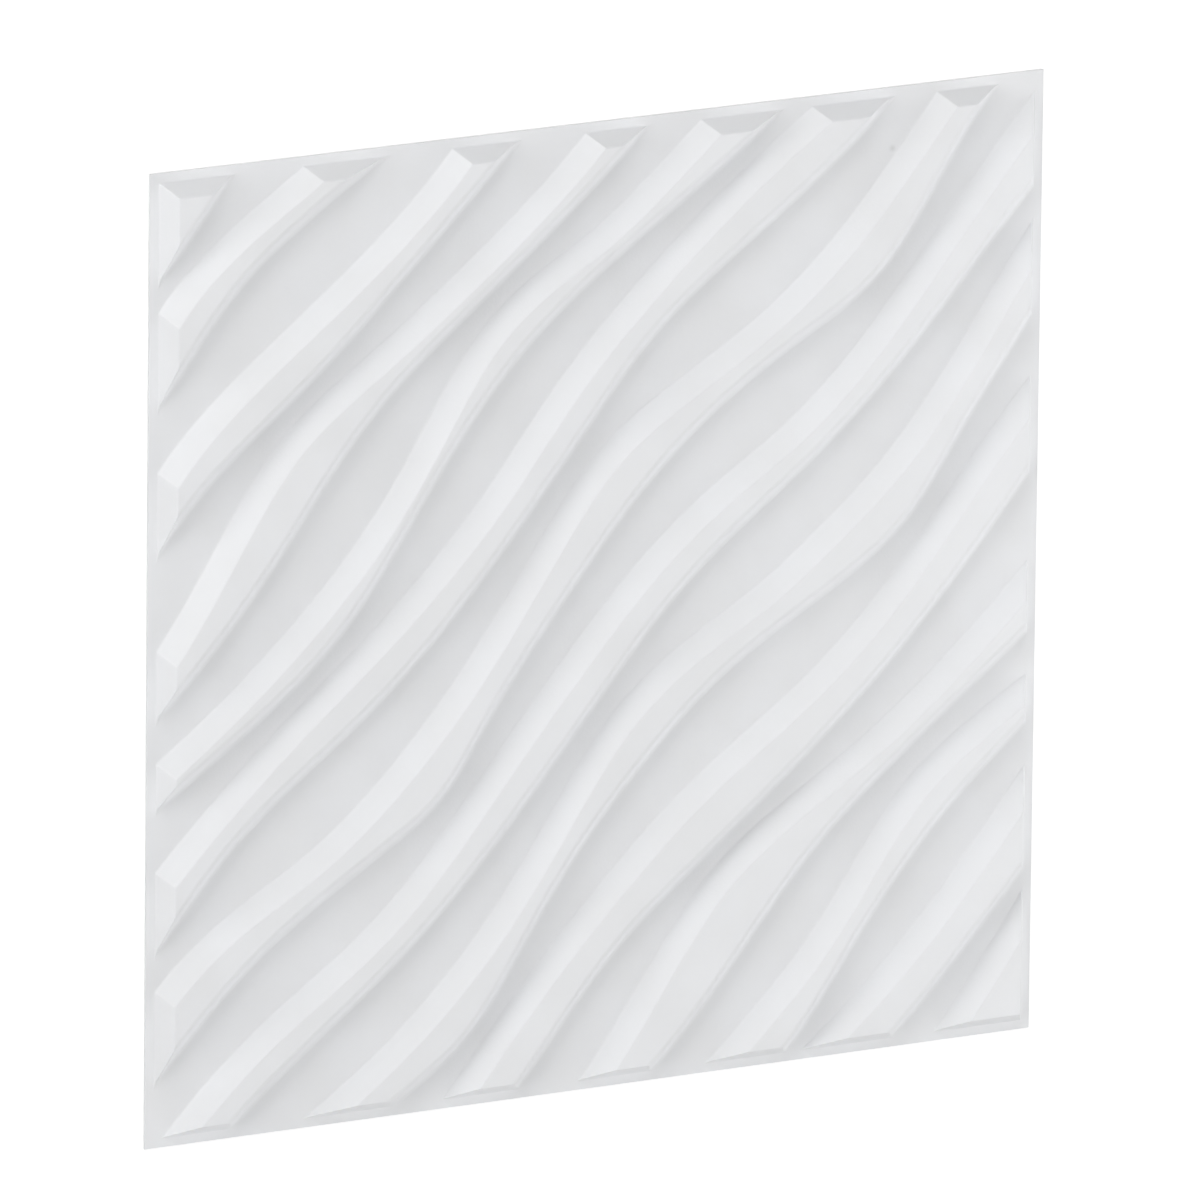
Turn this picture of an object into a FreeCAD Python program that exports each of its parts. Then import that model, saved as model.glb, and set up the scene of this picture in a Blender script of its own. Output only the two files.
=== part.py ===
"""A square wall panel tile, formed from one thin plastic sheet with diagonal wavy ribs.

The tile lies face up with its back on z = 0 and its middle at the origin.
Looked down on, the ribs run from the lower left to the upper right. Each rib is a hollow
trapezoid ridge: a flat top between two wavy edges, a slope down each long side, and a slope
that closes each end just inside the flat rim. The wall is as thick as the sheet all over.
Lengths are in millimetres.
"""

import FreeCAD
import Part

import math
import os

from FreeCAD import Vector

# The tile
PANEL_SIDE = 500.0
SHEET_THICKNESS = 1.0
RIM_WIDTH = 5.0

# The ribs, on the front face
RIB_HEIGHT = 11.0
SIDE_SLOPE_RUN = 8.5
END_SLOPE_RUN = 6.0

# Spacing of the points that a moved edge is drawn through
EDGE_STEP = 12.0

# The two wavy edges of each rib, upper left and lower right, as read where the rib meets the ground.
# A point is (distance along the diagonal from the lower left corner, distance across it,
# positive to the lower right), in thousandths of the tile's side, so the waves fit any tile.
# Each edge runs a little past the tile, and the ribs in the corners have one wavy edge.
# Where a rib meets one side of the tile, another meets the opposite side, so tiles join.
LEFT_TO_TOP_RIBS = (
    (
        (),
        ((610, -623), (696, -632), (785, -644)),
    ),
    (
        ((580, -591), (690, -602), (760, -592), (855, -574)),
        ((520, -532), (610, -545), (696, -553), (776, -545), (840, -533), (905, -516)),
    ),
    (
        ((465, -478), (600, -487), (700, -476), (800, -465), (965, -467)),
        ((405, -420), (546, -435), (656, -424), (796, -418), (1010, -417)),
    ),
    (
        ((340, -352), (440, -368), (520, -387), (620, -401), (720, -388), (840, -371), (1070, -360)),
        ((298, -310), (416, -311), (516, -321), (616, -337), (716, -344), (836, -334), (956, -322),
         (1112, -315)),
    ),
    (
        ((265, -277), (400, -260), (512, -256), (620, -264), (720, -285), (828, -306), (900, -300),
         (980, -281), (1060, -272), (1165, -265)),
        ((234, -246), (356, -226), (496, -211), (596, -223), (716, -247), (856, -259), (956, -249),
         (1076, -227), (1222, -206)),
    ),
    (
        ((182, -193), (290, -196), (400, -192), (520, -182), (630, -179), (720, -184), (840, -200),
         (960, -204), (1080, -198), (1255, -172)),
        ((125, -136), (200, -145), (286, -150), (376, -142), (456, -131), (566, -125), (676, -130),
         (836, -147), (936, -156), (1036, -148), (1156, -129), (1306, -121)),
    ),
    (
        ((90, -102), (160, -108), (240, -96), (320, -76), (430, -65), (520, -68), (640, -85),
         (760, -108), (828, -114), (900, -103), (1000, -78), (1120, -63), (1200, -66), (1346, -81)),
        ((30, -41), (156, -49), (252, -42), (328, -27), (396, -11), (460, -2), (516, -11), (596, -27),
         (716, -43), (826, -52), (956, -43), (1056, -20), (1150, -1), (1216, -9), (1392, -35)),
    ),
)
BOTTOM_TO_RIGHT_RIBS = (
    (
        ((-4, 9), (90, 5), (180, 12), (256, 25), (344, 34), (440, 29), (560, 16), (680, 6), (770, 3),
         (880, 14), (960, 30), (1044, 37), (1160, 30), (1280, 17), (1418, 7)),
        ((44, 56), (136, 59), (252, 73), (346, 81), (516, 76), (636, 65), (756, 56), (836, 59),
         (956, 75), (1046, 82), (1196, 78), (1359, 69)),
    ),
    (
        ((98, 111), (220, 133), (316, 139), (408, 133), (520, 113), (650, 93), (720, 99), (840, 128),
         (920, 139), (1004, 145), (1120, 135), (1240, 112), (1330, 98)),
        ((160, 172), (252, 193), (296, 198), (396, 183), (516, 159), (646, 151), (736, 155), (836, 176),
         (926, 199), (980, 206), (1076, 192), (1196, 171), (1270, 160)),
    ),
    (
        ((220, 232), (360, 215), (540, 208), (640, 213), (760, 232), (874, 242), (1000, 233),
         (1212, 216)),
        ((273, 285), (396, 271), (482, 266), (596, 276), (756, 292), (870, 297), (996, 292),
         (1150, 277)),
    ),
    (
        ((325, 337), (440, 323), (520, 307), (594, 299), (700, 313), (780, 331), (900, 347),
         (1076, 351)),
        ((374, 386), (456, 389), (560, 380), (686, 369), (796, 375), (876, 384), (1026, 402)),
    ),
    (
        ((425, 437), (550, 440), (630, 435), (710, 420), (798, 408), (880, 417), (986, 442)),
        ((484, 496), (536, 495), (636, 478), (716, 466), (796, 460), (876, 462), (957, 469)),
    ),
    (
        ((502, 514), (600, 521), (670, 523), (780, 517), (925, 500)),
        ((569, 581), (686, 582), (780, 577), (855, 573)),
    ),
    (
        ((613, 626), (700, 614), (772, 602), (835, 590)),
        (),
    ),
)

# How far across from those points the edges of the flat tops lie, in the same thousandths
UPPER_EDGE_SHIFT = 17
LOWER_EDGE_SHIFT = -12

HALF_SIDE = PANEL_SIDE / 2
X_AXIS, Y_AXIS = 0, 1


def tile_point(along, across):
    """A point of a wavy edge, as a place on the tile."""
    unit = PANEL_SIDE / 1000 / math.sqrt(2)
    return Vector((along + across) * unit - HALF_SIDE, (along - across) * unit - HALF_SIDE, 0)


def smooth_line(points):
    line = Part.BSplineCurve()
    line.interpolate(points)
    return line


def top_edge(points, shift):
    """A wavy edge of a rib's flat top, or None on the side where the rib fills a corner."""
    if not points:
        return None
    return smooth_line([tile_point(along, across + shift) for along, across in points])


def moved_point(line, place, move):
    """The point at a place on a wavy line, moved square to it, to its right where move is positive."""
    heading = line.tangent(place)[0]
    return line.value(place) + Vector(heading.y, -heading.x, 0) * move


def crossing(line, move, axis, reach):
    """The place where the moved line reaches a coordinate. Every wavy line runs up and to the right."""
    before, after = line.FirstParameter, line.LastParameter
    while after - before > 1e-9 * line.LastParameter:
        middle = (before + after) / 2
        if moved_point(line, middle, move)[axis] < reach:
            before = middle
        else:
            after = middle
    return after


def moved_edge(line, move, near, far, z):
    """The stretch of a wavy line, moved sideways, that lies between a rib's two ends."""
    start = crossing(line, move, *near)
    stop = crossing(line, move, *far)
    steps = math.ceil(line.length() / EDGE_STEP)
    places = [start + (stop - start) * i / steps for i in range(steps + 1)]
    lift = Vector(0, 0, z)
    return smooth_line([moved_point(line, place, move) + lift for place in places]).toShape()


def rib_ring(upper, lower, near_axis, side_spread, end_inset, z):
    """A rib's outline at one level, as edges in turn.

    The long sides stand out from the flat top's edges by side_spread, and the ends stand in
    from the rim by end_inset.
    """
    inner = HALF_SIDE - RIM_WIDTH - end_inset
    near = (near_axis, -inner)
    far = (Y_AXIS if near_axis == X_AXIS else X_AXIS, inner)
    corner = Vector(-inner, inner, z) if near_axis == X_AXIS else Vector(inner, -inner, z)
    curves = []
    if upper:
        curves.append(moved_edge(upper, -side_spread, near, far, z))
    if lower:
        curves.append(moved_edge(lower, side_spread, near, far, z))
    starts = [c.valueAt(c.FirstParameter) for c in curves]
    stops = [c.valueAt(c.LastParameter) for c in curves]
    if len(curves) == 1:
        return [curves[0], Part.makeLine(stops[0], corner), Part.makeLine(corner, starts[0])]
    return [curves[0], Part.makeLine(stops[0], stops[1]), curves[1], Part.makeLine(starts[1], starts[0])]


def ring_faces(low_ring, high_ring):
    """The sloping faces between a rib's outlines at two levels, and the flat face on the higher one."""
    slopes = [Part.makeRuledSurface(low, high) for low, high in zip(low_ring, high_ring)]
    return slopes + [Part.Face(Part.Wire(high_ring))]


def wall_shift(run):
    """How far the inner face of a slope stands in from its outer face, at one level's own height.

    The inner face is lower by the sheet's thickness, and this shift makes the sloping wall as thick.
    """
    return SHEET_THICKNESS * math.tan(math.atan2(RIB_HEIGHT, run) / 2)


def build_panel():
    corners = [Vector(x, y, 0) for x, y in ((-1, -1), (1, -1), (1, 1), (-1, 1))]
    back_outline = Part.makePolygon([c * HALF_SIDE for c in corners + corners[:1]])
    front_outline = back_outline.translated(Vector(0, 0, SHEET_THICKNESS))
    faces = [Part.makeRuledSurface(low, high) for low, high in zip(back_outline.Edges, front_outline.Edges)]

    side_shift = wall_shift(SIDE_SLOPE_RUN)
    end_shift = wall_shift(END_SLOPE_RUN)
    front_wires, back_wires = [front_outline], [back_outline]
    for near_axis, ribs in ((X_AXIS, LEFT_TO_TOP_RIBS), (Y_AXIS, BOTTOM_TO_RIGHT_RIBS)):
        for upper_points, lower_points in ribs:
            lines = (top_edge(upper_points, UPPER_EDGE_SHIFT), top_edge(lower_points, LOWER_EDGE_SHIFT))
            foot = rib_ring(*lines, near_axis, SIDE_SLOPE_RUN, 0, SHEET_THICKNESS)
            top = rib_ring(*lines, near_axis, 0, END_SLOPE_RUN, SHEET_THICKNESS + RIB_HEIGHT)
            mouth = rib_ring(*lines, near_axis, SIDE_SLOPE_RUN - side_shift, end_shift, 0)
            ceiling = rib_ring(*lines, near_axis, -side_shift, END_SLOPE_RUN + end_shift, RIB_HEIGHT)
            faces += ring_faces(foot, top) + ring_faces(mouth, ceiling)
            front_wires.append(Part.Wire(foot))
            back_wires.append(Part.Wire(mouth))

    faces.append(Part.Face(front_wires, "Part::FaceMakerBullseye"))
    faces.append(Part.Face(back_wires, "Part::FaceMakerBullseye"))
    shell = Part.makeShell(faces)
    shell.sewShape()
    panel = Part.makeSolid(shell)
    if panel.Volume < 0:
        panel.reverse()
    return panel


panel = build_panel()
print("valid", panel.isValid(), "closed", panel.isClosed(), "volume", round(panel.Volume, 1))
print("box", panel.BoundBox)
os.makedirs("parts", exist_ok=True)
panel.exportStep("parts/wave_panel.step")
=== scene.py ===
import math

import bmesh
import bpy
from mathutils import Matrix, Vector


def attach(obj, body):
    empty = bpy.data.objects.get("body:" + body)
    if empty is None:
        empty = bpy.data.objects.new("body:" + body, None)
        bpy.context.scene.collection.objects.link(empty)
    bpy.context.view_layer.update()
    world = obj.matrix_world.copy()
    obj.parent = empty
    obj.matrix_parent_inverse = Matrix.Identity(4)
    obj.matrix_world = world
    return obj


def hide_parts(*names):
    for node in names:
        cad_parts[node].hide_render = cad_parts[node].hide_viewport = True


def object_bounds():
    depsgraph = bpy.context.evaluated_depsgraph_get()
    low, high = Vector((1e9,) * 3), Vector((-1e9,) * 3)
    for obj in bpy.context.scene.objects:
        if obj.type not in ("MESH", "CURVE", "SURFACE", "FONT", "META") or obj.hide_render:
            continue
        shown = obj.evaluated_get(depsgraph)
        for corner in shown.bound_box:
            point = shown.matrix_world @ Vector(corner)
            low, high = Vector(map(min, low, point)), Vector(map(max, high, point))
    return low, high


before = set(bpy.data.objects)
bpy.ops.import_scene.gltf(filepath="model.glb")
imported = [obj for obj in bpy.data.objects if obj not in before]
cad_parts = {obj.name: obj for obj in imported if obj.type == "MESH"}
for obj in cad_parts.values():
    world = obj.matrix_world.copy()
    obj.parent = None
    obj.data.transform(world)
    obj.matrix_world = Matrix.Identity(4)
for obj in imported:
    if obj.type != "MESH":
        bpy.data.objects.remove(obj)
cad_low, cad_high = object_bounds()


# Formed sheet: the whole tile is one sheet of rigid white PVC, about 1 mm thick. It is warmed, drawn
# down over a mould with wavy ridges and trimmed to a square. The upper-left sides of the ridges are
# crisp, and the lower-right sides turn in a wider curve.
MERGE_GAP = 1e-6
FLAT_ANGLE = math.radians(0.2)
SQUARE_TO_SIDE = 0.01
CREASE_ANGLE = math.radians(20)
FLAT_RISE = 0.99
CRISP_ROUNDING = 0.0006
SOFT_ROUNDING = 0.002
ROUNDING_SEGMENTS = 4
SMOOTH_ANGLE = math.radians(35)

sheet = bpy.data.objects.new("formed_sheet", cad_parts["wave_panel"].data.copy())
bpy.context.scene.collection.objects.link(sheet)
bpy.ops.object.select_all(action="DESELECT")
sheet.select_set(True)
bpy.context.view_layer.objects.active = sheet


def select_in_sheet(mode, elements, chosen):
    """Selects in edit mode the sheet's verts, edges or faces that pass a test, and nothing else."""
    bpy.ops.mesh.select_mode(type=mode)
    bpy.ops.mesh.select_all(action="DESELECT")
    mesh = bmesh.from_edit_mesh(sheet.data)
    for element in getattr(mesh, elements):
        if chosen(element):
            element.select_set(True)
    mesh.select_flush_mode()
    bmesh.update_edit_mesh(sheet.data)


def is_crease(edge):
    return edge.calc_face_angle(0) > CREASE_ANGLE


def on_outline(vert):
    return max(abs(vert.co.x), abs(vert.co.y)) > cad_high.x - MERGE_GAP


def on_plane_face(face):
    """True for the ground, the rib tops and the rib ends, whose normals lie square to a side."""
    return min(abs(face.normal.x), abs(face.normal.y)) < SQUARE_TO_SIDE


def on_soft_side(edge):
    """True where a rib's lower-right slope meets the ground or the rib's top, on the front."""
    faces = edge.link_faces
    if not is_crease(edge) or any(face.normal.z <= 0 for face in faces):
        return False
    slope_found = any(face.normal.x > 0 and not on_plane_face(face) for face in faces)
    return slope_found and any(face.normal.z > FLAT_RISE for face in faces)


def is_crisp_crease(edge):
    """True for every other crease, but not for the edges of the trimmed outline."""
    if not is_crease(edge) or on_soft_side(edge):
        return False
    return not all(on_outline(vert) for vert in edge.verts)


bpy.ops.object.mode_set(mode="EDIT")
bpy.ops.mesh.select_all(action="SELECT")
bpy.ops.mesh.remove_doubles(threshold=MERGE_GAP)

# Each flat becomes one face, and each long slope a strip between its two wavy edges.
select_in_sheet("FACE", "faces", on_plane_face)
bpy.ops.mesh.dissolve_limited(angle_limit=FLAT_ANGLE)
select_in_sheet("VERT", "verts", lambda vert: not any(is_crease(edge) for edge in vert.link_edges))
bpy.ops.mesh.dissolve_verts()
select_in_sheet("FACE", "faces", lambda face: not on_plane_face(face))
bpy.ops.mesh.quads_convert_to_tris(quad_method="BEAUTY", ngon_method="BEAUTY")

# The creases are rounded, the soft sides most, and the trimmed outline stays as cut.
select_in_sheet("EDGE", "edges", on_soft_side)
bpy.ops.transform.edge_bevelweight(value=1.0)
select_in_sheet("EDGE", "edges", is_crisp_crease)
bpy.ops.transform.edge_bevelweight(value=CRISP_ROUNDING / SOFT_ROUNDING)
bpy.ops.object.mode_set(mode="OBJECT")
bpy.ops.object.modifier_add(type="BEVEL")
rounding = sheet.modifiers["Bevel"]
rounding.limit_method = "WEIGHT"
rounding.width = SOFT_ROUNDING
rounding.segments = ROUNDING_SEGMENTS
rounding.use_clamp_overlap = False
bpy.ops.object.modifier_apply(modifier="Bevel")
bpy.ops.object.shade_smooth_by_angle(angle=SMOOTH_ANGLE)
bpy.ops.object.modifier_add(type="WEIGHTED_NORMAL")
sheet.modifiers["WeightedNormal"].keep_sharp = True
bpy.ops.object.modifier_apply(modifier="WeightedNormal")

# A grain is a noise's scale per metre. Colour and roughness use only the middle of a noise's range.
NOISE_LOW, NOISE_HIGH = 0.3, 0.7
PVC_PALE = (0.862, 0.870, 0.886, 1)
PVC_DEEP = (0.843, 0.849, 0.860, 1)
MOTTLING_GRAIN, MOTTLING_DETAIL = 22, 6
SPECK_PLACE = (0.1645, 0.2185, 0.0011)
SPECK_RADIUS = 0.0026
SPECK_GREY = (0.735, 0.74, 0.745, 1)
SATIN_GRAIN, SATIN_DETAIL = 35, 4
SATIN_SMOOTH, SATIN_ROUGH = 0.46, 0.56
HANDLED_FROM, HANDLED_TO = 0.002, 0.012
GROUND_ROUGHER = 0.06
SAG_GRAIN, SAG_DETAIL = 14, 1
SAG_DEPTH = 0.002
PEEL_GRAIN, PEEL_DETAIL = 700, 2
PEEL_DEPTH = 0.00004


def white_pvc():
    """Satin white plastic, faintly mottled, with an orange-peel skin and a slight sag in the flats.

    The tops are handled most and are a little smoother, and the ground has one grey speck.
    """
    material = bpy.data.materials.new("white_pvc")
    material.use_nodes = True
    nodes, links = material.node_tree.nodes, material.node_tree.links
    shader = nodes["Principled BSDF"]
    place = nodes.new("ShaderNodeTexCoord").outputs["Object"]

    def noise(grain, detail):
        node = nodes.new("ShaderNodeTexNoise")
        node.inputs["Scale"].default_value = grain
        node.inputs["Detail"].default_value = detail
        links.new(place, node.inputs["Vector"])
        return node.outputs["Fac"]

    def ranged(value, from_low, from_high, to_low, to_high):
        node = nodes.new("ShaderNodeMapRange")
        node.interpolation_type = "SMOOTHSTEP"
        node.inputs["From Min"].default_value = from_low
        node.inputs["From Max"].default_value = from_high
        node.inputs["To Min"].default_value = to_low
        node.inputs["To Max"].default_value = to_high
        links.new(value, node.inputs["Value"])
        return node.outputs["Result"]

    def mixed(share, first, second):
        node = nodes.new("ShaderNodeMix")
        node.data_type = "RGBA"
        links.new(share, node.inputs["Factor"])
        for socket, colour in ((node.inputs["A"], first), (node.inputs["B"], second)):
            if isinstance(colour, tuple):
                socket.default_value = colour
            else:
                links.new(colour, socket)
        return node.outputs["Result"]

    def bumped(height, distance, normal=None):
        node = nodes.new("ShaderNodeBump")
        node.inputs["Distance"].default_value = distance
        links.new(height, node.inputs["Height"])
        if normal:
            links.new(normal, node.inputs["Normal"])
        return node.outputs["Normal"]

    mottling = ranged(noise(MOTTLING_GRAIN, MOTTLING_DETAIL), NOISE_LOW, NOISE_HIGH, 0, 1)
    to_speck = nodes.new("ShaderNodeVectorMath")
    to_speck.operation = "DISTANCE"
    to_speck.inputs[1].default_value = SPECK_PLACE
    links.new(place, to_speck.inputs[0])
    speck = ranged(to_speck.outputs["Value"], 0, SPECK_RADIUS, 1, 0)
    plain_white = mixed(mottling, PVC_PALE, PVC_DEEP)
    links.new(mixed(speck, plain_white, SPECK_GREY), shader.inputs["Base Color"])

    height = nodes.new("ShaderNodeSeparateXYZ")
    links.new(place, height.inputs["Vector"])
    rougher = ranged(height.outputs["Z"], HANDLED_FROM, HANDLED_TO, GROUND_ROUGHER, 0)
    satin = ranged(noise(SATIN_GRAIN, SATIN_DETAIL), NOISE_LOW, NOISE_HIGH, SATIN_SMOOTH, SATIN_ROUGH)
    roughness = nodes.new("ShaderNodeMath")
    roughness.operation = "ADD"
    links.new(satin, roughness.inputs[0])
    links.new(rougher, roughness.inputs[1])
    links.new(roughness.outputs["Value"], shader.inputs["Roughness"])

    sag = bumped(noise(SAG_GRAIN, SAG_DETAIL), SAG_DEPTH)
    skin = bumped(noise(PEEL_GRAIN, PEEL_DETAIL), PEEL_DEPTH, sag)
    links.new(skin, shader.inputs["Normal"])
    return material


sheet.data.materials.clear()
sheet.data.materials.append(white_pvc())
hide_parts("wave_panel")
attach(sheet, "root")


# Floor: the tile lies loose and face up on a plain white studio floor without gloss.
# The floor keeps the tile's shadow and runs into a white background.
FLOOR_SIZE = 8.0
FLOOR_DROP = 0.0002
FLOOR_WHITE = (0.9, 0.9, 0.9, 1)
FLOOR_ROUGHNESS = 0.9
FLOOR_GLOSS = 0.0
FLOOR_GLOW = 0.35
BACKGROUND_WHITE = (1, 1, 1, 1)


def background_share(nodes, links):
    """Gives 1 to a ray from the camera, straight or by way of gloss or glass, and 0 to the rest."""
    path = nodes.new("ShaderNodeLightPath")
    share = path.outputs["Is Camera Ray"]
    for ray in ("Is Glossy Ray", "Is Transmission Ray"):
        either = nodes.new("ShaderNodeMath")
        either.operation = "MAXIMUM"
        links.new(share, either.inputs[0])
        links.new(path.outputs[ray], either.inputs[1])
        share = either.outputs["Value"]
    return share


bpy.ops.mesh.primitive_plane_add(size=FLOOR_SIZE, location=(0, 0, cad_low.z - FLOOR_DROP))
floor = bpy.context.object
floor.name = "floor"
floor_white = bpy.data.materials.new("floor_white")
floor_white.use_nodes = True
floor_nodes, floor_links = floor_white.node_tree.nodes, floor_white.node_tree.links
floor_shader = floor_nodes["Principled BSDF"]
floor_shader.inputs["Base Color"].default_value = FLOOR_WHITE
floor_shader.inputs["Roughness"].default_value = FLOOR_ROUGHNESS
floor_shader.inputs["Specular IOR Level"].default_value = FLOOR_GLOSS
floor_shader.inputs["Emission Color"].default_value = BACKGROUND_WHITE
floor_glow = floor_nodes.new("ShaderNodeMath")
floor_glow.operation = "MULTIPLY"
floor_glow.inputs[1].default_value = FLOOR_GLOW
floor_links.new(background_share(floor_nodes, floor_links), floor_glow.inputs[0])
floor_links.new(floor_glow.outputs["Value"], floor_shader.inputs["Emission Strength"])
floor.data.materials.append(floor_white)


# Studio light: soft lamps stand low at the tile's left and upper sides and bring out the ribs, and a low
# and a high one answer them from the lower right. Two small lamps near the tile lift its right side and
# its upper left corner. The white room shows only in the background and in the tile's gloss.
SOFT_LAMPS = {
    "left_lamp": {"azimuth": 180, "elevation": 12, "spread": 38, "strength": 0.347},
    "left_high_lamp": {"azimuth": 160, "elevation": 25, "spread": 38, "strength": 0.174},
    "upper_left_lamp": {"azimuth": 105, "elevation": 25, "spread": 26, "strength": 0.196},
    "upper_lamp": {"azimuth": 90, "elevation": 15, "spread": 50, "strength": 0.12},
    "answer_lamp": {"azimuth": 315, "elevation": 28, "spread": 40, "strength": 0.232},
    "top_lamp": {"azimuth": 315, "elevation": 70, "spread": 50, "strength": 0.431},
}
NEAR_LAMPS = {
    "side_lamp": {"place": (0.65, 0.0, 0.25), "watts": 0.62},
    "corner_lamp": {"place": (-0.55, 0.55, 0.30), "watts": 0.3},
}
NEAR_LAMP_SIZE = 0.5

world = bpy.data.worlds.new("white_room")
bpy.context.scene.world = world
world.use_nodes = True
room_nodes, room_links = world.node_tree.nodes, world.node_tree.links
room = room_nodes["Background"]
room.inputs["Color"].default_value = BACKGROUND_WHITE
room_links.new(background_share(room_nodes, room_links), room.inputs["Strength"])

for lamp_name, lamp in SOFT_LAMPS.items():
    turn = math.radians(lamp["azimuth"])
    lift = math.radians(lamp["elevation"])
    reach = math.cos(lift)
    towards_lamp = Vector((math.cos(turn) * reach, math.sin(turn) * reach, math.sin(lift)))
    bpy.ops.object.light_add(type="SUN", rotation=towards_lamp.to_track_quat("Z", "Y").to_euler())
    soft_lamp = bpy.context.object
    soft_lamp.name = lamp_name
    soft_lamp.data.energy = lamp["strength"] * math.pi
    soft_lamp.data.angle = math.radians(lamp["spread"])

for lamp_name, lamp in NEAR_LAMPS.items():
    facing_tile = Vector(lamp["place"]).to_track_quat("Z", "Y").to_euler()
    bpy.ops.object.light_add(type="AREA", location=lamp["place"], rotation=facing_tile)
    near_lamp = bpy.context.object
    near_lamp.name = lamp_name
    near_lamp.data.size = NEAR_LAMP_SIZE
    near_lamp.data.energy = lamp["watts"]


# Camera: it looks down on the tile from its upper left, and frames it as the photograph does.
# A long lens from far off keeps the tile's sides nearly parallel.
VIEW_DIRECTION = Vector((-0.4483, 0.2644, 0.8539)).normalized()
VIEW_UP = Vector((0.1134, 0.9644, -0.2390))
VIEW_DISTANCE = 12.0
VIEW_REACH = 100.0
VIEW_WIDTH = 0.5986
AIM_RIGHT, AIM_UP = 0.0025, 0.0035

view_right = VIEW_UP.cross(VIEW_DIRECTION).normalized()
view_up = VIEW_DIRECTION.cross(view_right)
aim = view_right * AIM_RIGHT + view_up * AIM_UP
view_turn = Matrix((view_right, view_up, VIEW_DIRECTION)).transposed().to_4x4()
bpy.ops.object.camera_add()
camera = bpy.context.object
camera.name = "camera"
camera.data.lens = camera.data.sensor_width * VIEW_DISTANCE / VIEW_WIDTH
camera.data.clip_end = VIEW_REACH
camera.matrix_world = Matrix.Translation(aim + VIEW_DIRECTION * VIEW_DISTANCE) @ view_turn
bpy.context.scene.camera = camera
bpy.context.scene.view_settings.view_transform = "Standard"
